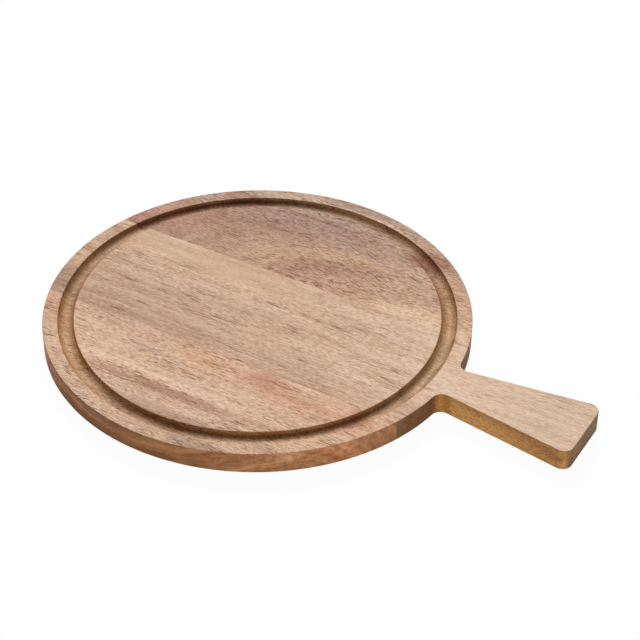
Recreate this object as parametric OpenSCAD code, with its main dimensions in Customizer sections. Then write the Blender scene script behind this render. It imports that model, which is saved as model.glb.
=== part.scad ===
// Round wooden serving board with a juice groove and a flared paddle handle.
// Four staves are glued edge to edge, and the handle is cut from the one on the middle line.
// The underside lies on Z = 0, the origin is under the centre of the disc and +X runs along the handle.

/* [Board] */
// Diameter of the round board
board_diameter = 300; // [240:1:400]
// Thickness of the board and of its handle
board_thickness = 16; // [12:0.5:30]

/* [Handle] */
// Length of the handle from the rim of the board to its end
handle_length = 99.2; // [70:0.2:160]
// Width between the handle's straight sides where they reach the rim
neck_width = 27.6; // [20:0.2:40]
// Width across the end of the handle, before its corners are rounded
end_width = 55; // [44:0.5:70]
// Radius of the hollow corners between the handle and the rim
root_radius = 7; // [4:0.5:15]
// Radius of the two rounded corners at the end of the handle
corner_radius = 7; // [2:0.5:15]

/* [Juice groove] */
// Width of the flat rim outside the groove
rim_width = 10.4; // [6:0.1:20]
// Radius of the round-nosed cutter that runs the groove
cutter_radius = 6; // [5:0.1:9]
// Depth of the groove at its lowest line
groove_depth = 4; // [2:0.1:5]

/* [Staves] */
// Distance from the handle's middle line to the seam of the right stave
right_seam = 43.6; // [36:0.1:60]
// Distance from the handle's middle line to the seam of the left stave
left_seam = 54.8; // [36:0.1:70]
// Distance from the handle's middle line to the seam between the left stave and the narrow one at its edge
edge_seam = 110.6; // [90:0.1:118]

/* [Hidden] */
$fn = 180;

board_radius = board_diameter / 2;

// Straight side of the handle, as its angle to the middle line
side_angle = atan((end_width - neck_width) / 2 / handle_length);
side_along = [cos(side_angle), sin(side_angle)];
side_outward = [-sin(side_angle), cos(side_angle)];
neck_point = [board_radius, neck_width / 2];
end_x = board_radius + handle_length;

// Centre of a hollow root corner, which touches the rim and the handle's side
root_start = neck_point + root_radius * side_outward;
root_ahead = root_start * side_along;
root_reach = board_radius + root_radius;
root_travel = -root_ahead + sqrt(root_ahead ^ 2 - root_start * root_start + root_reach ^ 2);
root_centre = root_start + root_travel * side_along;
root_on_rim = root_centre * board_radius / root_reach;
root_on_side = root_centre - root_radius * side_outward;

// Centre of a rounded end corner, which touches the handle's side and its end
corner_x = end_x - corner_radius;
corner_y = neck_width / 2 + (corner_x - board_radius) * tan(side_angle) - corner_radius / cos(side_angle);
corner_centre = [corner_x, corner_y];
corner_on_side = corner_centre + corner_radius * side_outward;
corner_on_end = [end_x, corner_y];

// The handle's outline starts inside the disc, so the two make one solid
handle_inset = rim_width / 2;
handle_start = [board_radius - handle_inset, 0];

// Groove: half its width at the surface and the radius of its lowest line
groove_half_width = sqrt(2 * cutter_radius * groove_depth - groove_depth ^ 2);
groove_radius = board_radius - rim_width - groove_half_width;
cutter_height = board_thickness - groove_depth + cutter_radius;

function mirrored(p) = [p[0], -p[1]];

// Upper half of the handle's outline, from the rim round to the middle of its end
half_outline = [root_on_rim, root_centre, root_on_side, corner_on_side, corner_centre, corner_on_end];

function reversed(list) = [for (i = [len(list) - 1 : -1 : 0]) list[i]];

module in_both_halves(p) {
    translate(p) children();
    translate(mirrored(p)) children();
}

module handle_outline() {
    difference() {
        polygon(concat([handle_start], half_outline, [for (p = reversed(half_outline)) mirrored(p)]));
        in_both_halves(root_centre) circle(r = root_radius);
    }
    in_both_halves(corner_centre) circle(r = corner_radius);
}

module handle() {
    linear_extrude(height = board_thickness) handle_outline();
}

// Part of the disc between two straight seams that run along the handle
module disc_between(low_y, high_y) {
    intersection() {
        cylinder(r = board_radius, h = board_thickness);
        translate([-board_radius, low_y, 0])
            cube([board_diameter, high_y - low_y, board_thickness]);
    }
}

module groove() {
    rotate_extrude() translate([groove_radius, cutter_height]) circle(r = cutter_radius);
}

module handle_stave() {
    color("burlywood") difference() {
        union() {
            disc_between(-left_seam, right_seam);
            handle();
        }
        groove();
    }
}

module right_stave() {
    color("rosybrown") difference() {
        disc_between(right_seam, board_radius);
        groove();
    }
}

module left_stave() {
    color("tan") difference() {
        disc_between(-edge_seam, -left_seam);
        groove();
    }
}

module edge_stave() {
    color("wheat") difference() {
        disc_between(-board_radius, -edge_seam);
        groove();
    }
}

handle_stave();
right_stave();
left_stave();
edge_stave();
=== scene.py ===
"""Looks of a round wooden serving board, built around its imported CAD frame.

Four oiled staves stand for the four CAD nodes. They are parted from one blank, which is shaped in the order
in which the real board is made: the outline is cut, its edges are eased and the juice groove is run.
Sizes are metres in the frame of the CAD model: +X runs along the handle and the underside lies on Z = 0.
"""

from __future__ import annotations

import logging
import math
from dataclasses import dataclass
from enum import Enum, auto
from functools import partial, reduce
from typing import Sequence, Union

import bmesh
import bpy
from mathutils import Matrix, Vector


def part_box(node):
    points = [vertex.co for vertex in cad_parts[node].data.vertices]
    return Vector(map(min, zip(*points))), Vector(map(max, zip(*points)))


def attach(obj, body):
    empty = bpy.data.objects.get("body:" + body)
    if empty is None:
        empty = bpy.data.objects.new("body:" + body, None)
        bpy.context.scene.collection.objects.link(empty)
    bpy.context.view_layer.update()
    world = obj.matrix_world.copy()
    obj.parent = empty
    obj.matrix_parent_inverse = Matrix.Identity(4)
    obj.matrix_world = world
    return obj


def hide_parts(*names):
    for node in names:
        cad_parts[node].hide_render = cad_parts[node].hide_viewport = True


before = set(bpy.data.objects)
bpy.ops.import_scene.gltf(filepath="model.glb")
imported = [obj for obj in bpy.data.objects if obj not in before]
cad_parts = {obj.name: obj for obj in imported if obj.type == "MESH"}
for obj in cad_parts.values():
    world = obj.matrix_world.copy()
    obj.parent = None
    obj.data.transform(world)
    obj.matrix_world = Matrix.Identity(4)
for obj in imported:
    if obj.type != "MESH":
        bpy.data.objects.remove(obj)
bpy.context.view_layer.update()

LOG = logging.getLogger("serving_board")
BODY = "root"

Y_AXIS = Vector((0.0, 1.0, 0.0))
Z_AXIS = Vector((0.0, 0.0, 1.0))
MERGE_DISTANCE = 1e-6
MM_PER_METRE = 1000.0
NOISE_MIDDLE = 0.5
WHITE = (1.0, 1.0, 1.0, 1.0)
WHITE_GLOW = 1.0

Mesh = bmesh.types.BMesh
Socket = bpy.types.NodeSocket
Feed = Union[float, Sequence[float], Socket]
Colour = tuple[int, int, int]
Tint = tuple[float, float, float, float]
Tones = tuple[tuple[float, Colour], ...]
Place = tuple[float, float, float]
Spot = tuple[float, float]
Limits = tuple[float, float]


class StaveName(Enum):
    """The staves of the board, by the names of their CAD nodes."""

    HANDLE = "handle_stave"
    RIGHT = "right_stave"
    LEFT = "left_stave"
    EDGE = "edge_stave"


class SocketKind(Enum):
    """Kinds of sockets on the shader node groups."""

    VALUE = "NodeSocketFloat"
    VECTOR = "NodeSocketVector"

    def named(self, *labels: str) -> dict[str, SocketKind]:
        """Gives this kind to each of the named sockets."""
        return dict.fromkeys(labels, self)


class Blend(Enum):
    """Ways in which a Mix node blends two colours."""

    MIX = "MIX"
    MULTIPLY = "MULTIPLY"


class FaceKind(Enum):
    """Kinds of faces on a stave, which meet in sharp edges."""

    FLAT = auto()
    UPRIGHT = auto()
    ROUND = auto()


def linear(colour: Colour) -> Tint:
    """Turns a screen colour into the scene's linear light.

    Args:
        colour: Red, green and blue from 0 to 255, as seen on a screen.

    Returns:
        Linear red, green, blue and a full alpha.
    """

    def channel(level: int) -> float:
        """Turns one channel into linear light by the sRGB curve."""
        share = level / 255.0
        return share / 12.92 if share <= 0.04045 else ((share + 0.055) / 1.055) ** 2.4

    red, green, blue = (channel(level) for level in colour)
    return (red, green, blue, 1.0)


def plain(tone: Colour) -> Tones:
    """Gives wood the same tone at every distance from its pith."""
    return ((0.0, tone), (1.0, tone))


def put_in_scene(name: str, mesh: Mesh) -> bpy.types.Object:
    """Makes an object of a finished bmesh and frees the bmesh.

    Args:
        name: Name of the object and of its mesh.
        mesh: The finished bmesh.

    Returns:
        The object, which is linked to the scene.
    """
    data = bpy.data.meshes.new(name)
    mesh.to_mesh(data)
    mesh.free()
    made = bpy.data.objects.new(name, data)
    bpy.context.scene.collection.objects.link(made)
    return made


def settle(mesh: Mesh) -> None:
    """Puts edges and faces in the order of their points, since operators leave another order each run.

    Args:
        mesh: The bmesh that is put in order.
    """
    mesh.verts.index_update()
    for items in (mesh.edges, mesh.faces):
        ranked = sorted(items, key=lambda item: sorted(vert.index for vert in item.verts))
        for rank, item in enumerate(ranked):
            item.index = rank
        items.sort()


class Pencil:
    """Draws a chain of edges in a bmesh, one straight line or arc after another."""

    def __init__(self, mesh: Mesh, start: Vector) -> None:
        """Sets the first point of a chain in a bmesh."""
        self.mesh = mesh
        self.tip = bmesh.ops.create_vert(mesh, co=start)["vert"][0]

    def line_to(self, point: Vector) -> None:
        """Draws a straight edge from the tip of the chain.

        Args:
            point: Where the edge ends.
        """
        made = bmesh.ops.extrude_vert_indiv(self.mesh, verts=[self.tip])
        self.tip = made["verts"][0]
        bmesh.ops.translate(self.mesh, vec=point - self.tip.co, verts=[self.tip])

    def arc(self, centre: Vector, axis: Vector, angle: float, steps: int) -> None:
        """Draws an arc from the tip, in steps, by an angle in radians about an axis through its centre."""
        made = bmesh.ops.spin(self.mesh, geom=[self.tip], cent=centre, axis=axis, angle=angle, steps=steps)
        self.tip = next(item for item in made["geom_last"] if isinstance(item, bmesh.types.BMVert))


@dataclass
class Blank:
    """The glued-up board before its staves are told apart: outline, eased edges and juice groove."""

    thickness: float
    end_x: float
    # Just under the solid's radius, so that the disc's finer steps stay inside the CAD box
    disc_radius: float = 0.14997
    neck_width: float = 0.0276
    end_width: float = 0.055
    root_radius: float = 0.007
    corner_radius: float = 0.007
    rim_width: float = 0.0104
    cutter_radius: float = 0.006
    groove_depth: float = 0.004
    top_easing: float = 0.0004
    foot_easing: float = 0.0008
    arris_radius: float = 0.0004
    half_disc_steps: int = 180
    corner_steps: int = 14
    groove_steps: int = 18
    arris_steps: int = 3
    easing_segments: int = 5

    @property
    def groove_radius(self) -> float:
        """Radius of the groove's lowest line."""
        half_width = math.sqrt(2.0 * self.cutter_radius * self.groove_depth - self.groove_depth**2)
        return self.disc_radius - self.rim_width - half_width

    @property
    def cutter_height(self) -> float:
        """Height of the centre of the groove's round section."""
        return self.thickness - self.groove_depth + self.cutter_radius

    def build(self) -> Mesh:
        """Shapes the whole blank.

        Returns:
            A closed bmesh of the board, with its faces outwards.
        """
        mesh = bmesh.new()
        for step in (self._cut_outline, self._ease_edges, self._run_groove, self._close_top):
            step(mesh)
            settle(mesh)
        bmesh.ops.recalc_face_normals(mesh, faces=mesh.faces[:])
        return mesh

    def _cut_outline(self, mesh: Mesh) -> None:
        """Draws half of the outline, mirrors it and raises it to the board's thickness.

        Args:
            mesh: The empty bmesh.
        """
        lean = math.atan((self.end_width - self.neck_width) / 2.0 / (self.end_x - self.disc_radius))
        along = Vector((math.cos(lean), math.sin(lean), 0.0))
        outward = Vector((-math.sin(lean), math.cos(lean), 0.0))
        neck = Vector((self.disc_radius, self.neck_width / 2.0, 0.0))

        # Centre of the hollow root corner, which touches the rim and the handle's side
        start = neck + self.root_radius * outward
        reach = self.disc_radius + self.root_radius
        ahead = start.dot(along)
        root = start + along * (math.sqrt(ahead**2 - start.length_squared + reach**2) - ahead)
        root_on_side = root - self.root_radius * outward
        rim_angle = math.atan2(root.y, root.x)

        # Centre of the rounded end corner, which touches the handle's side and its end
        corner_x = self.end_x - self.corner_radius
        side_y = neck.y + (corner_x - self.disc_radius) * math.tan(lean)
        corner = Vector((corner_x, side_y - self.corner_radius / math.cos(lean), 0.0))

        pencil = Pencil(mesh, Vector((self.end_x, 0.0, 0.0)))
        pencil.line_to(Vector((self.end_x, corner.y, 0.0)))
        pencil.arc(corner, Z_AXIS, math.pi / 2.0 + lean, self.corner_steps)
        pencil.line_to(root_on_side)
        pencil.arc(root, Z_AXIS, rim_angle - lean - math.pi / 2.0, self.corner_steps)
        pencil.arc(Vector(), Z_AXIS, math.pi - rim_angle, self.half_disc_steps)

        drawn = mesh.verts[:] + mesh.edges[:]
        bmesh.ops.mirror(mesh, geom=drawn, matrix=Matrix(), merge_dist=MERGE_DISTANCE, axis="Y")
        floor_face = bmesh.ops.contextual_create(mesh, geom=mesh.edges[:])["faces"]
        raised = bmesh.ops.extrude_face_region(mesh, geom=floor_face)["geom"]
        upper = [item for item in raised if isinstance(item, bmesh.types.BMVert)]
        bmesh.ops.translate(mesh, vec=Z_AXIS * self.thickness, verts=upper)
        bmesh.ops.recalc_face_normals(mesh, faces=mesh.faces[:])

    def _ease_edges(self, mesh: Mesh) -> None:
        """Rounds the upper and the lower edge of the outline.

        Args:
            mesh: The bmesh of the raised outline.
        """
        for height, easing in ((self.thickness, self.top_easing), (0.0, self.foot_easing)):
            level = [
                edge
                for edge in mesh.edges
                if all(abs(vert.co.z - height) < MERGE_DISTANCE for vert in edge.verts)
            ]
            bmesh.ops.bevel(
                mesh,
                geom=level,
                offset=easing,
                offset_type="OFFSET",
                affect="EDGES",
                segments=self.easing_segments,
                profile=0.5,
                material=-1,
                clamp_overlap=True,
            )

    def _run_groove(self, mesh: Mesh) -> None:
        """Opens the top of the board and spins the groove's section.

        Args:
            mesh: The bmesh of the eased board.
        """
        tops = [face for face in mesh.faces if self._is_top(face)]
        bmesh.ops.delete(mesh, geom=tops, context="FACES_ONLY")

        drop = self.cutter_height - self.thickness + self.arris_radius
        arris_reach = math.sqrt((self.cutter_radius + self.arris_radius) ** 2 - drop**2)
        arris_turn = math.atan2(arris_reach, drop)
        arris_z = self.thickness - self.arris_radius
        outer_x = self.groove_radius + arris_reach
        inner_x = self.groove_radius - arris_reach

        before = set(mesh.edges)
        pencil = Pencil(mesh, Vector((outer_x, 0.0, self.thickness)))
        pencil.arc(Vector((outer_x, 0.0, arris_z)), Y_AXIS, -arris_turn, self.arris_steps)
        cutter = Vector((self.groove_radius, 0.0, self.cutter_height))
        pencil.arc(cutter, Y_AXIS, 2.0 * arris_turn, self.groove_steps)
        pencil.arc(Vector((inner_x, 0.0, arris_z)), Y_AXIS, -arris_turn, self.arris_steps)

        section = [edge for edge in mesh.edges if edge not in before]
        points = dict.fromkeys(vert for edge in section for vert in edge.verts)
        bmesh.ops.spin(
            mesh,
            geom=list(points) + section,
            cent=Vector(),
            axis=Z_AXIS,
            angle=2.0 * math.pi,
            steps=2 * self.half_disc_steps,
            use_merge=True,
        )
        bmesh.ops.remove_doubles(mesh, verts=mesh.verts[:], dist=MERGE_DISTANCE)

    def _close_top(self, mesh: Mesh) -> None:
        """Closes the top of the board on both sides of the groove.

        Args:
            mesh: The bmesh of the grooved board, open at its top.
        """
        rims = [edge for edge in mesh.edges if edge.is_boundary]
        inner = [edge for edge in rims if edge.verts[0].co.xy.length < self.groove_radius]
        outer = [edge for edge in rims if edge not in set(inner)]
        bmesh.ops.contextual_create(mesh, geom=inner)
        bmesh.ops.triangle_fill(mesh, edges=outer, use_beauty=True, normal=Z_AXIS)

    def _is_top(self, face: bmesh.types.BMFace) -> bool:
        """Tells whether a face lies level with the top of the board."""
        return abs(face.calc_center_median().z - self.thickness) < MERGE_DISTANCE


@dataclass(frozen=True)
class Noise:
    """Three-dimensional noise: the size of one feature, the number of finer layers and their strength."""

    size: Feed
    detail: float
    roughness: float = 0.5


class Wiring:
    """Places nodes in one node tree and joins them by their sockets."""

    COLUMN_WIDTH = 220.0
    ROW_HEIGHT = 240.0
    ROWS = 5

    # Colour sockets of a Mix node, whose names it also gives to its other kinds of sockets
    MIX_BASE = 6
    MIX_OTHER = 7
    MIX_RESULT = 2

    def __init__(self, tree: bpy.types.NodeTree) -> None:
        """Starts with an empty sheet for a tree."""
        self.tree = tree
        self.tree.nodes.clear()

    def place(self, kind: str, **settings: object) -> bpy.types.Node:
        """Adds a node.

        Args:
            kind: Type name of the node.
            **settings: Properties that are set on the node.

        Returns:
            The new node.
        """
        node = self.tree.nodes.new(kind)
        column, row = divmod(len(self.tree.nodes), self.ROWS)
        node.location = (self.COLUMN_WIDTH * column, -self.ROW_HEIGHT * row)
        for name, value in settings.items():
            setattr(node, name, value)
        return node

    def feed(self, socket: Socket, value: Feed) -> None:
        """Links a socket to another one, or sets its value.

        Args:
            socket: The socket that is fed.
            value: An output socket, or the value.
        """
        if isinstance(value, bpy.types.NodeSocket):
            self.tree.links.new(value, socket)
        else:
            socket.default_value = value

    def finish(self, kind: str, surface: Socket) -> None:
        """Leads a shader to an output node of the given kind."""
        self.feed(self.place(kind).inputs["Surface"], surface)

    def math(self, operation: str, first: Feed, second: Feed = 0.0, clamp: bool = False) -> Socket:
        """Joins two numbers by a Math node.

        Args:
            operation: The Math node's operation.
            first: First number.
            second: Second number.
            clamp: Whether the result stays from 0 to 1.

        Returns:
            The result's socket.
        """
        node = self.place("ShaderNodeMath", operation=operation, use_clamp=clamp)
        self.feed(node.inputs[0], first)
        self.feed(node.inputs[1], second)
        return node.outputs[0]

    def plus(self, *terms: Feed) -> Socket:
        """Adds up numbers, from the first on."""
        return reduce(partial(self.math, "ADD"), terms)

    def minus(self, first: Feed, second: Feed) -> Socket:
        """Takes the second number from the first."""
        return self.math("SUBTRACT", first, second)

    def times(self, *factors: Feed) -> Socket:
        """Multiplies numbers, from the first on."""
        return reduce(partial(self.math, "MULTIPLY"), factors)

    def magnitude(self, value: Feed) -> Socket:
        """Drops the sign of a number."""
        return self.math("ABSOLUTE", value)

    def vector(self, operation: str, first: Feed, second: Feed) -> Socket:
        """Joins two vectors by a Vector Math node.

        Args:
            operation: The Vector Math node's operation.
            first: First vector.
            second: Second vector.

        Returns:
            The resulting vector's socket.
        """
        node = self.place("ShaderNodeVectorMath", operation=operation)
        self.feed(node.inputs[0], first)
        self.feed(node.inputs[1], second)
        return node.outputs[0]

    def length(self, vector: Socket) -> Socket:
        """Measures a vector.

        Args:
            vector: The vector's socket.

        Returns:
            The socket of its length.
        """
        node = self.place("ShaderNodeVectorMath", operation="LENGTH")
        self.feed(node.inputs[0], vector)
        return node.outputs["Value"]

    def split(self, vector: Socket) -> tuple[Socket, Socket, Socket]:
        """Parts a vector into its components.

        Args:
            vector: The vector's socket.

        Returns:
            The sockets of X, Y and Z.
        """
        node = self.place("ShaderNodeSeparateXYZ")
        self.feed(node.inputs[0], vector)
        return node.outputs[0], node.outputs[1], node.outputs[2]

    def join(self, x: Feed, y: Feed, z: Feed) -> Socket:
        """Makes a vector from its components.

        Args:
            x: First component.
            y: Second component.
            z: Third component.

        Returns:
            The vector's socket.
        """
        node = self.place("ShaderNodeCombineXYZ")
        for socket, value in zip(node.inputs, (x, y, z)):
            self.feed(socket, value)
        return node.outputs[0]

    def noise(self, place: Socket, noise: Noise) -> Socket:
        """Reads noise at a place.

        Args:
            place: The place, in the same unit as the noise's features.
            noise: The noise.

        Returns:
            A value of about 0 to 1, with its middle at 0.5.
        """
        node = self.place("ShaderNodeTexNoise")
        self.feed(node.inputs["Vector"], self.vector("DIVIDE", place, noise.size))
        self.feed(node.inputs["Scale"], 1.0)
        self.feed(node.inputs["Detail"], noise.detail)
        self.feed(node.inputs["Roughness"], noise.roughness)
        return node.outputs[0]

    def centred(self, noise: Socket) -> Socket:
        """Moves the middle of a noise to zero."""
        return self.minus(noise, NOISE_MIDDLE)

    def ramp(self, value: Feed, low: Feed, high: Feed, at_low: Feed = 0.0, at_high: Feed = 1.0) -> Socket:
        """Maps a value smoothly from one range to another.

        Args:
            value: The value that is mapped.
            low: Value at the start of the rise.
            high: Value at its end.
            at_low: Result at the start.
            at_high: Result at the end.

        Returns:
            The result's socket.
        """
        node = self.place("ShaderNodeMapRange", interpolation_type="SMOOTHSTEP")
        feeds = {"Value": value, "From Min": low, "From Max": high, "To Min": at_low, "To Max": at_high}
        for name, feed in feeds.items():
            self.feed(node.inputs[name], feed)
        return node.outputs[0]

    def between(self, mask: Socket, outside: Feed, inside: Feed) -> Socket:
        """Goes smoothly from a value outside a mask to another inside it."""
        return self.ramp(mask, 0.0, 1.0, outside, inside)

    def mix(self, factor: Feed, base: Feed, other: Feed, blend: Blend = Blend.MIX) -> Socket:
        """Mixes two colours.

        Args:
            factor: Share of the other colour.
            base: Colour at factor 0.
            other: Colour that is blended in.
            blend: How it is blended in.

        Returns:
            The mixed colour's socket.
        """
        node = self.place("ShaderNodeMix", data_type="RGBA", blend_type=blend.value)
        self.feed(node.inputs[0], factor)
        self.feed(node.inputs[self.MIX_BASE], base)
        self.feed(node.inputs[self.MIX_OTHER], other)
        return node.outputs[self.MIX_RESULT]

    def tint(self, colour: Socket, tint: Feed, share: Feed = 1.0) -> Socket:
        """Multiplies a colour by a share of a tint."""
        return self.mix(share, colour, tint, Blend.MULTIPLY)

    def tones(self, value: Socket, stops: Tones) -> Socket:
        """Turns a value into a colour by a row of stops.

        Args:
            value: The value that is looked up.
            stops: Values in rising order, each with its screen colour.

        Returns:
            The colour's socket.
        """
        last = stops[-1][0]
        node = self.place("ShaderNodeValToRGB")
        self.feed(node.inputs[0], self.math("DIVIDE", value, last))
        elements = node.color_ramp.elements
        for index, (position, colour) in enumerate(stops):
            element = elements[index] if index < len(elements) else elements.new(position / last)
            element.position = position / last
            element.color = linear(colour)
        return node.outputs[0]

    def group(self, tree: bpy.types.NodeTree, **feeds: Feed) -> bpy.types.NodeOutputs:
        """Places a node group.

        Args:
            tree: The group's node tree.
            **feeds: Feeds of its inputs by name, with spaces written as underscores.

        Returns:
            The outputs of the group.
        """
        node = self.place("ShaderNodeGroup", node_tree=tree)
        for name, value in feeds.items():
            self.feed(node.inputs[name.replace("_", " ")], value)
        return node.outputs


class EffectGroup:
    """A shader node group with named inputs and outputs, which the staves' materials share."""

    def __init__(self, name: str, inputs: dict[str, SocketKind], outputs: dict[str, SocketKind]) -> None:
        """Makes the group with its sockets.

        Args:
            name: Name of the group.
            inputs: Kinds of its inputs by name.
            outputs: Kinds of its outputs by name.
        """
        self.tree = bpy.data.node_groups.new(name, "ShaderNodeTree")
        self.wiring = Wiring(self.tree)
        for direction, sockets in (("INPUT", inputs), ("OUTPUT", outputs)):
            for label, kind in sockets.items():
                self.tree.interface.new_socket(name=label, in_out=direction, socket_type=kind.value)
        self.source = self.wiring.place("NodeGroupInput").outputs
        self.result = self.wiring.place("NodeGroupOutput").inputs

    def give(self, **values: Feed) -> bpy.types.NodeTree:
        """Feeds the group's outputs.

        Args:
            **values: Feeds of the outputs by name, with spaces written as underscores.

        Returns:
            The finished node tree.
        """
        for name, value in values.items():
            self.wiring.feed(self.result[name.replace("_", " ")], value)
        return self.tree


@dataclass
class WoodEffects:
    """The effects that all staves share: growth rings, grain, soft marks and masks of the cut faces.

    Features of the grain are sized in millimetres, along X, Y and Z or along the grain, out from the pith
    and round it. Depths and margins at the groove are metres.
    """

    blank: Blank

    ring_drift: Noise = Noise((60.0, 22.0, 22.0), 2.0)
    arc_per_radian: float = 60.0
    band_length: float = 150.0
    band_arc: float = 60.0
    band_detail: float = 2.0
    streaks: Noise = Noise((45.0, 2.8, 4.0), 3.0, 0.55)
    blush: Noise = Noise((40.0, 6.0, 12.0), 2.0)
    swell: Noise = Noise((55.0, 24.0, 24.0), 1.0)
    fibres: Noise = Noise((4.0, 0.7, 0.7), 2.0, 0.6)
    fleck_detail: float = 1.0
    fleck_crowd: Noise = Noise((50.0, 5.0, 9.0), 1.0)
    fleck_level: float = 0.68
    fleck_rise: float = 0.16
    pores: Noise = Noise((1.1, 0.8, 0.8), 1.0)
    pore_levels: Limits = (0.5, 0.72)
    tear: Noise = Noise((18.0, 2.5, 6.0), 2.0)

    steep_tilts: Limits = (0.85, 0.35)
    wall_tilts: Limits = (0.98, 0.45)
    end_turns: Limits = (0.5, 1.0)
    sunk_depths: Limits = (0.0001, 0.0006)
    edge_depths: Limits = (0.0016, 0.0006)
    floor_margins: Limits = (0.002, 0.001)
    side_margin: float = 0.001
    wall_share_at_edge: float = 0.4

    def __post_init__(self) -> None:
        """Builds each effect once."""
        self.ring_group = self._ring_group()
        self.grain_group = self._grain_group()
        self.mark_group = self._mark_group()
        self.face_group = self._face_group()

    def _ring_group(self) -> bpy.types.NodeTree:
        """Builds a space that follows the growth rings: along the grain, out from the pith and round it.

        Returns:
            The group's node tree.
        """
        effect = EffectGroup(
            "growth_rings",
            SocketKind.VECTOR.named("Millimetres", "Pith")
            | SocketKind.VALUE.named("Rise", "Bluntness", "Wander"),
            SocketKind.VALUE.named("Radius") | SocketKind.VECTOR.named("Grain"),
        )
        wire, given = effect.wiring, effect.source
        place, bluntness = given["Millimetres"], given["Bluntness"]
        sway = wire.times(wire.centred(wire.noise(place, self.ring_drift)), given["Wander"])
        along, across, above = wire.split(wire.vector("SUBTRACT", place, given["Pith"]))
        height = wire.minus(above, wire.times(along, given["Rise"]))
        powers = [wire.math("POWER", wire.magnitude(side), bluntness) for side in (across, height)]
        round_pith = wire.math("POWER", wire.plus(*powers), wire.math("DIVIDE", 1.0, bluntness))
        radius = wire.plus(round_pith, sway)
        around = wire.times(wire.math("ARCTAN2", across, height), self.arc_per_radian)
        return effect.give(Radius=radius, Grain=wire.join(along, radius, around))

    def _grain_group(self) -> bpy.types.NodeTree:
        """Builds bands, streaks, fibres and dark flecks that run along the grain.

        Returns:
            The group's node tree.
        """
        settings = ("Wave", "Band Width", "Fleck Length", "Fleck Width", "Fleck Density", "Fleck Crowding")
        effect = EffectGroup(
            "wood_grain",
            SocketKind.VECTOR.named("Grain", "Millimetres") | SocketKind.VALUE.named(*settings),
            SocketKind.VALUE.named("Bands", "Streaks", "Fibres", "Flecks", "Blush", "Pores"),
        )
        wire, given = effect.wiring, effect.source
        grain = given["Grain"]
        band = wire.join(self.band_length, given["Band Width"], self.band_arc)

        # Fibres, flecks and pores swell slowly sideways along the board
        swell = wire.noise(given["Millimetres"], self.swell)
        aside = wire.times(wire.centred(swell), given["Wave"])
        place = wire.vector("ADD", given["Millimetres"], wire.join(0.0, aside, 0.0))

        cell = wire.join(given["Fleck Length"], given["Fleck Width"], given["Fleck Width"])
        dashes = wire.noise(place, Noise(cell, self.fleck_detail))
        crowd = wire.times(wire.centred(wire.noise(grain, self.fleck_crowd)), given["Fleck Crowding"])
        start = wire.minus(self.fleck_level, given["Fleck Density"])
        return effect.give(
            Bands=wire.noise(grain, Noise(band, self.band_detail)),
            Streaks=wire.noise(grain, self.streaks),
            Fibres=wire.noise(place, self.fibres),
            Flecks=wire.ramp(wire.plus(dashes, crowd), start, wire.plus(start, self.fleck_rise)),
            Blush=wire.noise(grain, self.blush),
            Pores=wire.ramp(wire.noise(place, self.pores), *self.pore_levels),
        )

    def _mark_group(self) -> bpy.types.NodeTree:
        """Builds a soft oval mark with a ragged outline along the grain.

        Returns:
            The group's node tree.
        """
        effect = EffectGroup(
            "soft_mark",
            SocketKind.VECTOR.named("Millimetres", "Centre", "Reach")
            | SocketKind.VALUE.named("Softness", "Ragged"),
            SocketKind.VALUE.named("Mask"),
        )
        wire, given = effect.wiring, effect.source
        place, softness = given["Millimetres"], given["Softness"]
        offset = wire.vector("DIVIDE", wire.vector("SUBTRACT", place, given["Centre"]), given["Reach"])
        tear = wire.times(wire.centred(wire.noise(place, self.tear)), given["Ragged"])
        torn = wire.plus(wire.length(offset), tear)
        return effect.give(Mask=wire.ramp(torn, wire.plus(1.0, softness), wire.minus(1.0, softness)))

    def _face_group(self) -> bpy.types.NodeTree:
        """Builds masks for the upright sides, their end grain, the groove, its walls and its edges.

        Returns:
            The group's node tree.
        """
        masks = ("Side", "End Grain", "Groove", "Groove End", "Groove Wall", "Groove Edge")
        effect = EffectGroup(
            "cut_faces", SocketKind.VECTOR.named("Place", "Normal"), SocketKind.VALUE.named(*masks)
        )
        wire, given, blank = effect.wiring, effect.source, self.blank
        x, y, z = wire.split(given["Place"])
        forward, _, upward = wire.split(given["Normal"])
        turn, tilt = wire.magnitude(forward), wire.magnitude(upward)
        steep = wire.ramp(tilt, *self.steep_tilts)

        depth = wire.minus(blank.thickness, z)
        from_centre = wire.length(wire.join(x, y, 0.0))
        off_line = wire.magnitude(wire.minus(from_centre, blank.groove_radius))
        sunk = wire.ramp(depth, *self.sunk_depths)
        near = wire.ramp(off_line, blank.cutter_radius + self.side_margin, blank.cutter_radius)
        not_under = wire.ramp(depth, *(blank.groove_depth + margin for margin in self.floor_margins))
        groove = wire.times(sunk, near, not_under)
        by_edge = wire.ramp(depth, *self.edge_depths)
        below_edge = wire.between(by_edge, 1.0, self.wall_share_at_edge)
        return effect.give(
            Side=wire.times(steep, wire.minus(1.0, groove)),
            End_Grain=wire.times(steep, wire.ramp(turn, *self.end_turns)),
            Groove=groove,
            Groove_End=wire.times(groove, turn),
            Groove_Wall=wire.times(wire.ramp(tilt, *self.wall_tilts), groove, below_edge),
            Groove_Edge=wire.times(by_edge, groove),
        )


@dataclass(frozen=True)
class Mark:
    """A soft patch, band or line of another tone, in the wood's figure and in places as painted light and
    shade.

    Attributes:
        tone: Screen colour of the mark.
        centre: Its centre, seen from above.
        reach: Its half axes along and across the board.
        strength: Share of the tone at its centre.
        softness: Share of the reach over which it fades.
        ragged: How torn its outline is.
        height: Height of its centre.
        depth: Its half axis in height.
    """

    tone: Colour
    centre: Spot
    reach: Spot
    strength: float = 1.0
    softness: float = 0.6
    ragged: float = 0.6
    height: float = 0.0
    depth: float = 1.0


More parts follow.
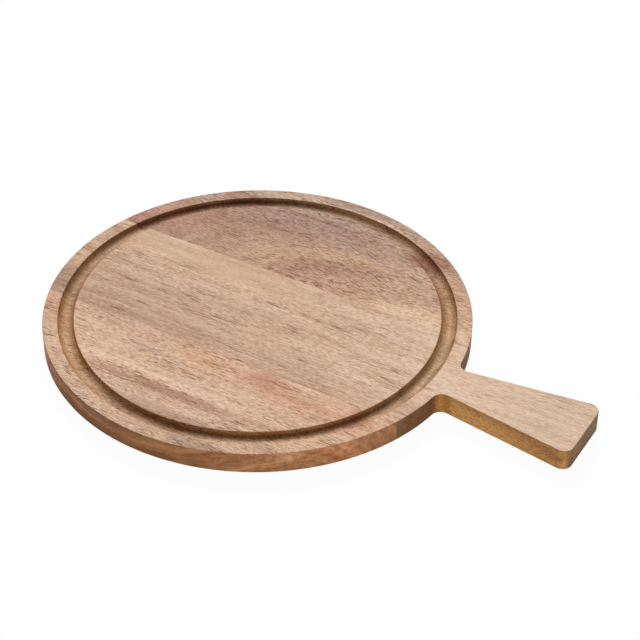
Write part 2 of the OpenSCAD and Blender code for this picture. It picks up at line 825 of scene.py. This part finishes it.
@dataclass(frozen=True)
class GrainZone:
    """A part of a stave where the grain shows more or less strongly, seen from above."""

    centre: Spot
    reach: Spot
    strength: float
    softness: float = 0.6
    ragged: float = 0.6


@dataclass(frozen=True)
class Rings:
    """Growth rings of a stave, in millimetres.

    Attributes:
        pith: A point of the pith line.
        rise: How far the pith line rises along the board, as a slope.
        tones: Tones of the top at distances from the pith.
        side_tones: Tones of the upright sides at distances from the pith.
        wander: How far the rings sway.
        bluntness: 2 for round rings, more for squarer ones.
    """

    pith: Place
    rise: float
    tones: Tones
    side_tones: Tones
    wander: float
    bluntness: float = 2.0


@dataclass(frozen=True)
class Flecks:
    """Dark flecks along the grain: size in millimetres, and how many, how dark and how crowded they are."""

    length: float
    width: float
    density: float
    depth: float
    crowding: float


@dataclass(frozen=True)
class Oil:
    """What oil does to the wood of every stave: tints of its cut faces and its grain, painted shade in its
    groove, and its sheen.
    """

    side_share: float = 0.95
    # Painted shade in the recess of the groove, together with the darker tone of its oiled wood
    groove_oil_and_shade_tint: Tint = (0.8, 0.74, 0.62, 1.0)
    groove_end_tint: Tint = (0.7, 0.66, 0.56, 1.0)
    # Painted shade on the groove's steep walls: the deep warm colour of light bounced within the groove
    groove_wall_shade_tint: Tint = (0.95, 0.74, 0.42, 1.0)
    # Painted shade: thin dark lines just inside the groove's edges
    groove_edge_shade_tint: Tint = (0.6, 0.52, 0.45, 1.0)
    groove_edge_shade_share: float = 0.6
    pore_tint: Tint = (0.45, 0.38, 0.3, 1.0)
    fleck_tint: Tint = (0.42, 0.31, 0.21, 1.0)
    light_grain: Tint = (1.22, 1.3, 1.4, 1.0)
    dark_grain: Tint = (0.78, 0.7, 0.6, 1.0)
    cool_blush: Tint = (0.99, 1.004, 1.014, 1.0)
    warm_blush: Tint = (1.014, 0.99, 0.966, 1.0)
    blush_levels: Limits = (0.3, 0.7)
    streak_levels: Limits = (0.2, 0.8)
    roughness: Limits = (0.55, 0.68)
    specular: float = 0.15
    bump_strength: float = 0.25
    bump_height: float = 0.0003
    fibre_height: float = 0.4


@dataclass(frozen=True)
class OiledWood:
    """The finish of one stave.

    Attributes:
        rings: Its growth rings and their tones.
        marks: Marks on the top, from the lowest to the uppermost: its own figure, and in places painted
            light and shade.
        side_marks: Marks on its upright sides.
        flecks: Its dark flecks.
        end_tone: Screen colour of its end grain.
        end_depth: Share of that tone.
        pore_depth: How dark the pores of its sides are.
        fibre_share: Share of the fine fibres in the grain.
        flame: What the streaks' share gains on the sides.
        band_width: Width of the ring bands in millimetres.
        band_share: Share of the ring bands in the grain.
        streak_share: Share of the streaks in the grain.
        zones: Parts where the grain is stronger or fainter.
        side_grain: Strength of fibres and flecks on the sides.
        wave: How far the fibres swell sideways, in millimetres.
        oil: What the oil does to it.
    """

    rings: Rings
    marks: tuple[Mark, ...]
    flecks: Flecks
    end_tone: Colour
    end_depth: float
    pore_depth: float
    fibre_share: float
    flame: float
    side_marks: tuple[Mark, ...] = ()
    band_width: float = 9.0
    band_share: float = 0.5
    streak_share: float = 1.0
    zones: tuple[GrainZone, ...] = ()
    side_grain: float = 0.3
    wave: float = 4.0
    oil: Oil = Oil()

    def material(self, name: str, effects: WoodEffects) -> bpy.types.Material:
        """Builds the finish as a material with the given name."""
        return WoodShader(name, self, effects).build()


class WoodShader:
    """Wires the material of one stave from its finish and the shared effects."""

    def __init__(self, name: str, finish: OiledWood, effects: WoodEffects) -> None:
        """Starts the material and places the shared effects in it.

        Args:
            name: Name of the material.
            finish: The stave's finish.
            effects: The node groups that all staves share.
        """
        self.finish = finish
        self.oil = finish.oil
        self.mark_group = effects.mark_group
        self.material = bpy.data.materials.new(name)
        self.material.use_nodes = True
        self.wire = Wiring(self.material.node_tree)
        places = self.wire.place("ShaderNodeTexCoord").outputs
        self.millimetres = self.wire.vector("MULTIPLY", places["Object"], (MM_PER_METRE,) * 3)
        self.rings = self.wire.group(
            effects.ring_group,
            Millimetres=self.millimetres,
            Pith=finish.rings.pith,
            Rise=finish.rings.rise,
            Bluntness=finish.rings.bluntness,
            Wander=finish.rings.wander,
        )
        self.grain = self.wire.group(
            effects.grain_group,
            Grain=self.rings["Grain"],
            Millimetres=self.millimetres,
            Wave=finish.wave,
            Band_Width=finish.band_width,
            Fleck_Length=finish.flecks.length,
            Fleck_Width=finish.flecks.width,
            Fleck_Density=finish.flecks.density,
            Fleck_Crowding=finish.flecks.crowding,
        )
        self.faces = self.wire.group(effects.face_group, Place=places["Object"], Normal=places["Normal"])

    def build(self) -> bpy.types.Material:
        """Wires the tones of the wood, its grain and its sheen.

        Returns:
            The material, which reads the piece's Object coordinates.
        """
        wire, finish, radius = self.wire, self.finish, self.rings["Radius"]
        top = self._marked(wire.tones(radius, finish.rings.tones), finish.marks)
        side = wire.tones(radius, finish.rings.side_tones)
        end_share = wire.times(self.faces["End Grain"], finish.end_depth)
        side = wire.mix(end_share, side, linear(finish.end_tone))
        side = self._marked(side, finish.side_marks)
        self._shine(self._grained(self._cut(top, side)))
        return self.material

    def _oval(self, centre: Place, reach: Place, softness: float, ragged: float) -> Socket:
        """Places a soft oval mask.

        Args:
            centre: Centre of the oval in metres.
            reach: Its half axes in metres.
            softness: Share of the reach over which it fades.
            ragged: How torn its outline is.

        Returns:
            The mask's socket.
        """
        outputs = self.wire.group(
            self.mark_group,
            Millimetres=self.millimetres,
            Centre=[MM_PER_METRE * part for part in centre],
            Reach=[MM_PER_METRE * part for part in reach],
            Softness=softness,
            Ragged=ragged,
        )
        return outputs["Mask"]

    def _marked(self, colour: Socket, marks: Sequence[Mark]) -> Socket:
        """Lays marks over the tones of the rings.

        Args:
            colour: Tone under the marks.
            marks: The marks, from the lowest to the uppermost.

        Returns:
            The tone with the marks.
        """
        for mark in marks:
            centre, reach = (*mark.centre, mark.height), (*mark.reach, mark.depth)
            mask = self._oval(centre, reach, mark.softness, mark.ragged)
            colour = self.wire.mix(self.wire.times(mask, mark.strength), colour, linear(mark.tone))
        return colour

    def _cut(self, top: Socket, side: Socket) -> Socket:
        """Joins the tones, darkens the groove with painted shade and the darker tone of its oiled wood, and
        opens the pores of the sides.

        Args:
            top: Tone of the top face.
            side: Tone of the upright sides.

        Returns:
            The tone on every face.
        """
        wire, oil, faces = self.wire, self.oil, self.faces
        colour = wire.mix(wire.times(faces["Side"], oil.side_share), top, side)
        # Painted shade in the groove, on its steep walls and along its edges
        colour = wire.tint(colour, oil.groove_oil_and_shade_tint, faces["Groove"])
        colour = wire.tint(colour, oil.groove_end_tint, faces["Groove End"])
        colour = wire.tint(colour, oil.groove_wall_shade_tint, faces["Groove Wall"])
        edge_share = wire.times(faces["Groove Edge"], oil.groove_edge_shade_share)
        colour = wire.tint(colour, oil.groove_edge_shade_tint, edge_share)
        pores = wire.times(self.grain["Pores"], faces["Side"], self.finish.pore_depth)
        return wire.tint(colour, oil.pore_tint, pores)

    def _strength(self) -> Feed:
        """Works out how strongly the grain shows at each place.

        Returns:
            The strength, which is 1 outside the zones.
        """
        strength: Feed = 1.0
        for zone in self.finish.zones:
            mask = self._oval((*zone.centre, 0.0), (*zone.reach, 1.0), zone.softness, zone.ragged)
            strength = self.wire.times(strength, self.wire.between(mask, 1.0, zone.strength))
        return strength

    def _grained(self, colour: Socket) -> Socket:
        """Shades the tone by the grain and darkens the flecks, in another strength on the sides.

        Args:
            colour: Tone under the grain.

        Returns:
            The finished tone.
        """
        wire, finish, oil, side = self.wire, self.finish, self.oil, self.faces["Side"]
        strength = self._strength()
        rough = wire.between(side, 1.0, finish.side_grain)
        shares: dict[str, Feed] = {
            "Bands": finish.band_share,
            "Streaks": wire.between(side, finish.streak_share, finish.streak_share + finish.flame),
            "Fibres": wire.times(rough, finish.fibre_share),
        }
        parts = [wire.times(wire.centred(self.grain[name]), share) for name, share in shares.items()]
        shade = wire.math("ADD", wire.times(wire.plus(*parts), strength), NOISE_MIDDLE, clamp=True)
        warmth = wire.ramp(self.grain["Blush"], *oil.blush_levels)
        colour = wire.tint(colour, wire.mix(warmth, oil.cool_blush, oil.warm_blush))
        colour = wire.tint(colour, wire.mix(shade, oil.light_grain, oil.dark_grain))
        flecks = wire.times(self.grain["Flecks"], rough, strength, finish.flecks.depth)
        return wire.tint(colour, oil.fleck_tint, flecks)

    def _shine(self, colour: Socket) -> None:
        """Gives the wood its satin sheen and its slightly open grain.

        Args:
            colour: The finished tone.
        """
        wire, oil = self.wire, self.oil
        shader = wire.place("ShaderNodeBsdfPrincipled")
        wire.feed(shader.inputs["Base Color"], colour)
        roughness = wire.ramp(self.grain["Streaks"], *oil.streak_levels, *oil.roughness)
        wire.feed(shader.inputs["Roughness"], roughness)
        shader.inputs["Specular IOR Level"].default_value = oil.specular
        bump = wire.place("ShaderNodeBump")
        bump.inputs["Strength"].default_value = oil.bump_strength
        bump.inputs["Distance"].default_value = oil.bump_height
        height = wire.minus(wire.times(self.grain["Fibres"], oil.fibre_height), self.grain["Flecks"])
        wire.feed(bump.inputs["Height"], height)
        wire.feed(shader.inputs["Normal"], bump.outputs[0])
        wire.finish("ShaderNodeOutputMaterial", shader.outputs[0])


@dataclass
class Stave:
    """One glued stave of the board, parted from the blank at its seams."""

    name: StaveName
    finish: OiledWood
    flat_tilt: float = 0.9999
    upright_tilt: float = 0.0005
    smooth_angle: float = math.radians(40.0)

    @property
    def slot(self) -> str:
        """Name of the stave's material slot, which its piece and its material share."""
        return f"{self.name.value}_wood"

    def build(self, blank: Mesh, effects: WoodEffects) -> bpy.types.Object:
        """Parts the stave from the blank, dresses it and puts it in the frame.

        Args:
            blank: The whole board.
            effects: The node groups for its finish.

        Returns:
            The stave's object.
        """
        mesh = blank.copy()
        low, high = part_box(self.name.value)
        self._saw(mesh, low.y, keep_above=True)
        self._saw(mesh, high.y, keep_above=False)
        self._shade(mesh)
        piece = put_in_scene(self.slot, mesh)
        piece.data.materials.append(self.finish.material(self.slot, effects))
        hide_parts(self.name.value)
        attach(piece, BODY)
        return piece

    @staticmethod
    def _saw(mesh: Mesh, seam_y: float, keep_above: bool) -> None:
        """Cuts the mesh at a seam, throws one side away and closes the cut.

        Args:
            mesh: The mesh that is cut.
            seam_y: Where the seam lies.
            keep_above: Whether the side with the greater Y is kept.
        """
        bmesh.ops.bisect_plane(
            mesh,
            geom=mesh.verts[:] + mesh.edges[:] + mesh.faces[:],
            dist=MERGE_DISTANCE,
            plane_co=Y_AXIS * seam_y,
            plane_no=Y_AXIS,
            clear_inner=keep_above,
            clear_outer=not keep_above,
        )
        open_edges = [edge for edge in mesh.edges if edge.is_boundary]
        if open_edges:
            bmesh.ops.contextual_create(mesh, geom=open_edges)
            bmesh.ops.recalc_face_normals(mesh, faces=mesh.faces[:])
        settle(mesh)

    def _shade(self, mesh: Mesh) -> None:
        """Shades round stretches smooth, and keeps flat faces flat up to their edges.

        Args:
            mesh: The stave's closed mesh.
        """
        for face in mesh.faces:
            face.smooth = True
        for edge in mesh.edges:
            kinds = {self._kind(face) for face in edge.link_faces}
            edge.smooth = len(kinds) == 1 and edge.calc_face_angle(0.0) < self.smooth_angle

    def _kind(self, face: bmesh.types.BMFace) -> FaceKind:
        """Tells level faces, upright faces and the rounded ones between them apart.

        Args:
            face: A face of the stave.

        Returns:
            The kind of the face.
        """
        tilt = abs(face.normal.z)
        if tilt > self.flat_tilt:
            return FaceKind.FLAT
        return FaceKind.UPRIGHT if tilt < self.upright_tilt else FaceKind.ROUND


@dataclass(frozen=True)
class SoftLamp:
    """A rectangular soft lamp that points at the board, placed by its angles round it in degrees."""

    name: str
    power: float
    width: float
    height: float
    distance: float
    azimuth: float
    elevation: float


@dataclass
class Studio:
    """Pale floor, soft light from behind and a low fill in front, and the camera."""

    lamps: tuple[SoftLamp, ...] = (
        SoftLamp(
            "back_light", power=339.0, width=3.0, height=1.7, distance=5.0, azimuth=215.0, elevation=41.0
        ),
        SoftLamp(
            "front_fill", power=26.0, width=1.6, height=0.4, distance=2.5, azimuth=50.0, elevation=8.0
        ),
    )
    floor_size: float = 8.0
    floor_gap: float = 0.0004
    floor_colour: Tint = (0.9, 0.9, 0.9, 1.0)
    glow_share: float = 0.97
    ambient: float = 0.064
    azimuth: float = 29.527
    elevation: float = 37.985
    roll: float = 0.7229
    target: Place = (0.03269, 0.03046, 0.0)
    distance: float = 1.33488
    lens: float = 105.85
    sensor_width: float = 36.0

    def build(self) -> None:
        """Sets up the floor, the lights, the world and the camera."""
        bpy.context.scene.view_settings.view_transform = "Standard"
        self._lay_floor()
        for lamp in self.lamps:
            self._hang(lamp)
        self._light_world()
        self._stand_camera()

    @staticmethod
    def _view(azimuth: float, elevation: float) -> tuple[Vector, Vector, Vector]:
        """Works out the right, up and backward directions of a viewer.

        Args:
            azimuth: Angle round the board in degrees, 0 in front of it.
            elevation: Angle above the floor in degrees.

        Returns:
            Right, up and back as unit vectors.
        """
        turn, rise = math.radians(azimuth), math.radians(elevation)
        right = Vector((math.cos(turn), math.sin(turn), 0.0))
        back = Vector((math.sin(turn) * math.cos(rise), -math.cos(turn) * math.cos(rise), math.sin(rise)))
        return right, back.cross(right), back

    @staticmethod
    def _placed(right: Vector, up: Vector, back: Vector, place: Vector) -> Matrix:
        """Makes the matrix of a camera or lamp from its directions and place."""
        turn = Matrix((right, up, back)).transposed().to_4x4()
        return Matrix.Translation(place) @ turn

    @staticmethod
    def _seen(wire: Wiring) -> Socket:
        """Masks the rays that show a surface to the camera, straight or in gloss and glass.

        Args:
            wire: Wiring of a material or of the world.

        Returns:
            The mask's socket.
        """
        rays = wire.place("ShaderNodeLightPath").outputs
        straight_or_gloss = wire.math("MAXIMUM", rays["Is Camera Ray"], rays["Is Glossy Ray"])
        return wire.math("MAXIMUM", straight_or_gloss, rays["Is Transmission Ray"])

    def _lay_floor(self) -> None:
        """Lays a pale floor that shows white to the camera and keeps a soft shadow."""
        mesh = bmesh.new()
        bmesh.ops.create_grid(mesh, x_segments=1, y_segments=1, size=self.floor_size / 2.0)
        bmesh.ops.translate(mesh, vec=Z_AXIS * -self.floor_gap, verts=mesh.verts[:])
        floor = put_in_scene("floor", mesh)
        material = bpy.data.materials.new("pale_floor")
        material.use_nodes = True
        wire = Wiring(material.node_tree)
        diffuse = wire.place("ShaderNodeBsdfDiffuse")
        diffuse.inputs["Color"].default_value = self.floor_colour
        glow = wire.place("ShaderNodeEmission")
        glow.inputs["Strength"].default_value = WHITE_GLOW
        blend = wire.place("ShaderNodeMixShader")
        wire.feed(blend.inputs[0], wire.times(self._seen(wire), self.glow_share))
        wire.feed(blend.inputs[1], diffuse.outputs[0])
        wire.feed(blend.inputs[2], glow.outputs[0])
        wire.finish("ShaderNodeOutputMaterial", blend.outputs[0])
        floor.data.materials.append(material)

    def _hang(self, lamp: SoftLamp) -> None:
        """Hangs a soft lamp at its place round the board.

        Args:
            lamp: The lamp.
        """
        light = bpy.data.lights.new(lamp.name, "AREA")
        light.shape = "RECTANGLE"
        light.size, light.size_y = lamp.width, lamp.height
        light.energy = lamp.power
        holder = bpy.data.objects.new(lamp.name, light)
        right, up, back = self._view(lamp.azimuth, lamp.elevation)
        holder.matrix_world = self._placed(right, up, back, back * lamp.distance)
        bpy.context.scene.collection.objects.link(holder)

    def _light_world(self) -> None:
        """Fills the shadows with a plain white surround, which also shows in gloss."""
        world = bpy.data.worlds.new("surround")
        world.use_nodes = True
        bpy.context.scene.world = world
        wire = Wiring(world.node_tree)
        background = wire.place("ShaderNodeBackground")
        background.inputs["Color"].default_value = WHITE
        strength = wire.between(self._seen(wire), self.ambient, WHITE_GLOW)
        wire.feed(background.inputs["Strength"], strength)
        wire.finish("ShaderNodeOutputWorld", background.outputs[0])

    def _stand_camera(self) -> None:
        """Stands the camera where the photograph was taken from."""
        lens = bpy.data.cameras.new("camera")
        lens.lens = self.lens
        lens.sensor_width = self.sensor_width
        right, up, back = self._view(self.azimuth, self.elevation)
        cosine, sine = math.cos(math.radians(self.roll)), math.sin(math.radians(self.roll))
        rolled_right, rolled_up = right * cosine + up * sine, up * cosine - right * sine
        camera = bpy.data.objects.new("camera", lens)
        place = Vector(self.target) + back * self.distance
        camera.matrix_world = self._placed(rolled_right, rolled_up, back, place)
        bpy.context.scene.collection.objects.link(camera)
        bpy.context.scene.camera = camera


# Middle height and reach in height of marks that only the groove shows
IN_GROOVE = (0.014, 0.010)

HANDLE_WOOD = OiledWood(
    rings=Rings(
        pith=(0.0, 45.0, -60.0),
        rise=0.0,
        tones=plain((200, 164, 134)),
        # Up to 82 mm the far side of the handle shows its own tone; the bright golden tones from 84 mm on,
        # shown by its near side, are partly painted light, the warm light bounced onto that side
        side_tones=(
            (60.0, (168, 119, 77)),
            (81.5, (164, 115, 72)),
            (84.0, (243, 183, 107)),
            (88.0, (246, 186, 109)),
            (91.0, (238, 179, 106)),
            (94.0, (226, 169, 100)),
            (96.5, (213, 156, 93)),
            (99.0, (189, 135, 79)),
            (104.0, (186, 132, 78)),
            (110.0, (181, 129, 76)),
        ),
        wander=2.0,
    ),
    marks=(
        # Paler wood of the handle, lightened further as painted sheen, and its greyer end
        Mark((220, 188, 160), (0.200, 0.0), (0.110, 0.060), 0.9, 0.6, 0.3),
        Mark((212, 184, 156), (0.234, 0.0), (0.032, 0.045), 0.8, 0.6, 0.3),
        # Bands and streaks across the disc
        Mark((200, 163, 129), (-0.060, 0.028), (0.080, 0.018), 0.6, 0.8),
        Mark((182, 146, 117), (-0.115, -0.022), (0.085, 0.030), 0.8, 0.8, 0.4),
        Mark((179, 142, 114), (-0.065, -0.050), (0.085, 0.013), 0.75, 0.8),
        Mark((186, 150, 122), (0.080, -0.039), (0.045, 0.004), 0.5),
        Mark((212, 178, 148), (0.040, 0.032), (0.030, 0.005), 0.6),
        Mark((190, 154, 124), (-0.020, -0.003), (0.110, 0.004), 0.4),
        Mark((208, 174, 144), (-0.030, 0.010), (0.090, 0.005), 0.5),
        # Rim opposite the handle
        Mark((186, 152, 123), (-0.148, 0.008), (0.012, 0.042), 0.9, 0.5),
        # Groove, opposite the handle and by it
        Mark((181, 144, 115), (-0.1305, 0.004), (0.003, 0.022), 0.8, 0.4, 0.3, *IN_GROOVE),
        Mark((168, 135, 106), (0.1371, 0.0), (0.0028, 0.020), 0.8, 0.4, 0.3, *IN_GROOVE),
        Mark((170, 136, 106), (0.1330, 0.033), (0.0034, 0.013), 0.7, 0.4, 0.3, *IN_GROOVE),
        Mark((170, 136, 106), (0.1330, -0.033), (0.0034, 0.013), 0.7, 0.4, 0.3, *IN_GROOVE),
        # Rim by the left stave
        Mark((155, 122, 96), (-0.142, -0.041), (0.012, 0.016), 0.8, 0.5),
        Mark((190, 152, 122), (0.140, -0.042), (0.012, 0.010), 0.7, 0.5),
    ),
    side_marks=(
        # Left side of the handle, near its end and in its root, where the two darkest marks are painted
        # shade in the hollow corner
        Mark((176, 121, 67), (0.233, -0.0245), (0.024, 0.020), 0.4, 0.6, 0.6, 0.012, 0.006),
        Mark((106, 63, 6), (0.1475, -0.027), (0.0085, 0.0085), 0.95, 0.4, 0.3),
        Mark((176, 118, 44), (0.1545, -0.0185), (0.0050, 0.0050), 0.9, 0.5, 0.3),
        Mark((116, 74, 30), (0.144, -0.038), (0.011, 0.011), 0.9, 0.4, 0.3),
    ),
    flecks=Flecks(length=13.0, width=0.72, density=0.07, depth=1.0, crowding=0.6),
    end_tone=(119, 87, 54),
    end_depth=1.0,
    pore_depth=0.6,
    streak_share=1.5,
    fibre_share=4.0,
    flame=-0.2,
    zones=(
        GrainZone((0.210, 0.0), (0.080, 0.080), 0.53),
        GrainZone((-0.055, 0.033), (0.085, 0.013), 0.45),
    ),
    side_grain=1.4,
)

RIGHT_WOOD = OiledWood(
    rings=Rings(
        pith=(105.0, 44.0, 16.0),
        rise=0.335,
        tones=(
            (0.0, (227, 192, 160)),
            (10.0, (222, 186, 154)),
            (13.0, (205, 166, 134)),
            (17.5, (190, 149, 119)),
            (22.0, (186, 144, 115)),
            (26.0, (187, 145, 116)),
            (33.0, (181, 137, 107)),
            (36.0, (174, 130, 102)),
            (38.0, (162, 118, 91)),
            (39.5, (176, 133, 104)),
            (41.5, (169, 126, 98)),
            (44.0, (187, 147, 115)),
            (49.0, (185, 145, 113)),
            (54.0, (179, 139, 110)),
            (60.0, (171, 131, 104)),
            (66.0, (162, 120, 95)),
            (71.0, (157, 116, 94)),
            (100.0, (162, 119, 96)),
        ),
        side_tones=(
            (0.0, (186, 130, 88)),
            (40.0, (186, 130, 88)),
            (50.0, (140, 92, 60)),
            (120.0, (150, 104, 72)),
        ),
        bluntness=2.2,
        wander=3.0,
    ),
    marks=(
        # Greyer wood towards the rim, with a dark line and a paler stretch
        Mark((159, 126, 107), (0.005, 0.107), (0.075, 0.009), 0.8, 0.6),
        Mark((157, 128, 107), (0.0, 0.135), (0.150, 0.0175), 0.9, 0.05, 0.1),
        Mark((120, 90, 74), (-0.015, 0.117), (0.048, 0.0012), 0.6, 0.7),
        Mark((189, 160, 138), (-0.056, 0.134), (0.048, 0.012), 0.8, 0.5),
        # Light tongue by the handle and patches of the figure
        Mark((218, 183, 151), (0.113, 0.047), (0.038, 0.016), 0.8, 0.6, 0.35),
        Mark((196, 159, 130), (0.084, 0.080), (0.032, 0.016), 0.6, 0.7),
        Mark((181, 149, 127), (0.036, 0.099), (0.045, 0.007), 0.6, 0.6),
        Mark((186, 148, 123), (-0.084, 0.054), (0.008, 0.016), 0.6, 0.6),
        Mark((178, 134, 110), (-0.106, 0.066), (0.016, 0.020), 0.5, 0.6),
        # Rim
        Mark((188, 158, 134), (-0.105, 0.101), (0.013, 0.013), 0.7, 0.5),
        Mark((180, 134, 110), (-0.127, 0.070), (0.014, 0.020), 0.7, 0.5),
        Mark((166, 137, 115), (-0.003, 0.146), (0.018, 0.007), 0.7, 0.5),
        Mark((188, 154, 127), (0.082, 0.121), (0.058, 0.016), 0.8, 0.5),
        Mark((202, 164, 132), (0.126, 0.072), (0.016, 0.024), 0.8, 0.5),
        Mark((190, 155, 127), (0.105, 0.102), (0.014, 0.012), 0.7, 0.5),
        Mark((182, 152, 129), (0.040, 0.140), (0.024, 0.007), 0.7, 0.5),
        Mark((194, 164, 140), (-0.038, 0.140), (0.020, 0.008), 0.6, 0.5),
        # Groove: the pale mark is painted light on the shaded outer wall at the back, and the red-brown
        # mark beside it is painted shade
        Mark((212, 180, 156), (0.004, 0.1372), (0.030, 0.0035), 0.9, 0.4, 0.3, *IN_GROOVE),
        Mark((140, 88, 58), (0.074, 0.1135), (0.017, 0.009), 0.85, 0.5, 0.6, *IN_GROOVE),
    ),
    flecks=Flecks(length=4.6, width=0.68, density=0.14, depth=1.0, crowding=0.35),
    end_tone=(110, 82, 64),
    end_depth=0.4,
    pore_depth=0.4,
    band_width=3.4,
    band_share=1.0,
    fibre_share=7.4,
    flame=0.3,
    zones=(
        GrainZone((-0.085, 0.070), (0.045, 0.025), 0.65),
        GrainZone((0.115, 0.092), (0.030, 0.030), 0.75),
        GrainZone((0.106, 0.047), (0.050, 0.014), 0.45),
    ),
    wave=16.0,
)

LEFT_WOOD = OiledWood(
    rings=Rings(
        pith=(0.0, -135.0, -36.0),
        rise=0.0,
        tones=plain((210, 171, 140)),
        side_tones=(
            (40.0, (192, 136, 92)),
            (47.0, (192, 136, 92)),
            (50.5, (184, 127, 85)),
            (55.0, (190, 138, 98)),
            (57.0, (172, 106, 64)),
            (59.0, (178, 114, 72)),
            (62.0, (201, 137, 94)),
            (65.5, (209, 147, 101)),
            (69.0, (188, 130, 85)),
            (72.0, (181, 125, 86)),
            (76.0, (178, 122, 84)),
            (82.0, (178, 122, 82)),
            (86.0, (164, 112, 72)),
            (89.0, (183, 125, 80)),
            (95.0, (170, 117, 75)),
        ),
        wander=4.0,
    ),
    marks=(
        # Patches and streaks beside the middle stave
        Mark((198, 160, 131), (-0.070, -0.058), (0.070, 0.009), 0.7, 0.8),
        Mark((211, 164, 133), (0.084, -0.067), (0.046, 0.012), 0.8),
        Mark((192, 155, 128), (-0.036, -0.0745), (0.020, 0.005), 0.7, 0.7),
        Mark((183, 130, 98), (0.045, -0.0625), (0.015, 0.008), 0.9, 0.8, 1.0),
        Mark((209, 162, 127), (-0.004, -0.066), (0.026, 0.009), 0.9, 0.7),
        Mark((199, 148, 117), (0.084, -0.070), (0.030, 0.0035), 0.7, 0.6),
        # Light streak and the ragged dark band along the edge stave
        Mark((196, 158, 130), (0.005, -0.0918), (0.035, 0.0018), 0.7, 0.6),
        Mark((219, 182, 152), (0.010, -0.0968), (0.095, 0.0035), 0.85, 0.5),
        Mark((190, 149, 120), (-0.045, -0.1070), (0.045, 0.0040), 0.75, 0.7, 1.0),
        Mark((186, 144, 115), (0.060, -0.1037), (0.026, 0.0022), 0.7, 0.7, 1.0),
        Mark((166, 119, 90), (0.006, -0.1056), (0.042, 0.0042), 0.95, 0.7, 1.1),
        # Rim and groove
        Mark((194, 150, 119), (-0.126, -0.073), (0.014, 0.018), 0.8, 0.5),
        Mark((166, 109, 80), (0.1172, -0.0668), (0.0078, 0.0078), 0.8, 0.7, 0.6, *IN_GROOVE),
        Mark((213, 178, 148), (-0.103, -0.101), (0.014, 0.006), 0.7, 0.5),
        Mark((215, 173, 139), (0.103, -0.101), (0.014, 0.006), 0.7, 0.5),
    ),
    flecks=Flecks(length=7.0, width=0.75, density=0.11, depth=0.9, crowding=0.45),
    end_tone=(150, 104, 72),
    end_depth=0.2,
    pore_depth=0.05,
    fibre_share=4.0,
    flame=2.2,
    zones=(GrainZone((-0.005, -0.106), (0.075, 0.006), 2.4),),
)

EDGE_WOOD = OiledWood(
    rings=Rings(
        pith=(0.0, -112.0, -40.0),
        rise=0.1,
        tones=plain((206, 170, 141)),
        side_tones=(
            (34.0, (176, 122, 79)),
            (36.5, (167, 113, 71)),
            (39.0, (188, 131, 85)),
            (41.0, (206, 147, 98)),
            (43.0, (193, 136, 91)),
            (45.0, (174, 121, 79)),
            (47.0, (166, 113, 72)),
            (53.0, (168, 115, 75)),
            (56.0, (160, 107, 67)),
            (57.0, (157, 103, 63)),
            (59.0, (174, 119, 77)),
            (60.5, (178, 122, 79)),
            (62.0, (198, 139, 91)),
            (63.0, (184, 129, 84)),
            (64.5, (151, 104, 65)),
            (72.0, (154, 107, 68)),
        ),
        wander=3.0,
    ),
    marks=(
        # Band along the groove, rim and groove
        Mark((178, 142, 115), (0.002, -0.1255), (0.055, 0.0058), 0.85, 0.35),
        Mark((169, 135, 110), (0.038, -0.141), (0.024, 0.006), 0.8, 0.5),
        Mark((210, 171, 138), (0.096, -0.114), (0.014, 0.005), 0.8, 0.5),
        Mark((174, 138, 109), (0.082, -0.122), (0.012, 0.004), 0.7, 0.5),
        # Painted shade on the inner wall of the groove in front
        Mark((156, 115, 78), (0.002, -0.1318), (0.032, 0.0040), 0.8, 0.4, 0.3, *IN_GROOVE),
    ),
    side_marks=(
        # Painted shade at the foot of the wall, and its light upper edge towards the handle
        Mark((142, 92, 50), (-0.045, -0.141), (0.055, 0.020), 0.6, 0.6, 0.6, 0.002, 0.006),
        Mark((212, 157, 114), (0.093, -0.117), (0.014, 0.012), 0.65, 0.6, 0.6, 0.0145, 0.005),
    ),
    flecks=Flecks(length=5.0, width=0.75, density=0.11, depth=1.0, crowding=0.4),
    end_tone=(150, 104, 72),
    end_depth=0.0,
    pore_depth=0.05,
    fibre_share=5.0,
    flame=2.2,
)


def main() -> None:
    """Builds the board's staves and the studio around them."""
    logging.basicConfig(level=logging.INFO, format="%(message)s")
    _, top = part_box(StaveName.HANDLE.value)
    blank = Blank(thickness=top.z, end_x=top.x)
    effects = WoodEffects(blank)
    board = blank.build()
    staves = (
        Stave(StaveName.HANDLE, HANDLE_WOOD),
        Stave(StaveName.RIGHT, RIGHT_WOOD),
        Stave(StaveName.LEFT, LEFT_WOOD),
        Stave(StaveName.EDGE, EDGE_WOOD),
    )
    for stave in staves:
        piece = stave.build(board, effects)
        LOG.info("%s: %d faces", piece.name, len(piece.data.polygons))
    board.free()
    Studio().build()


if __name__ == "__main__":
    main()
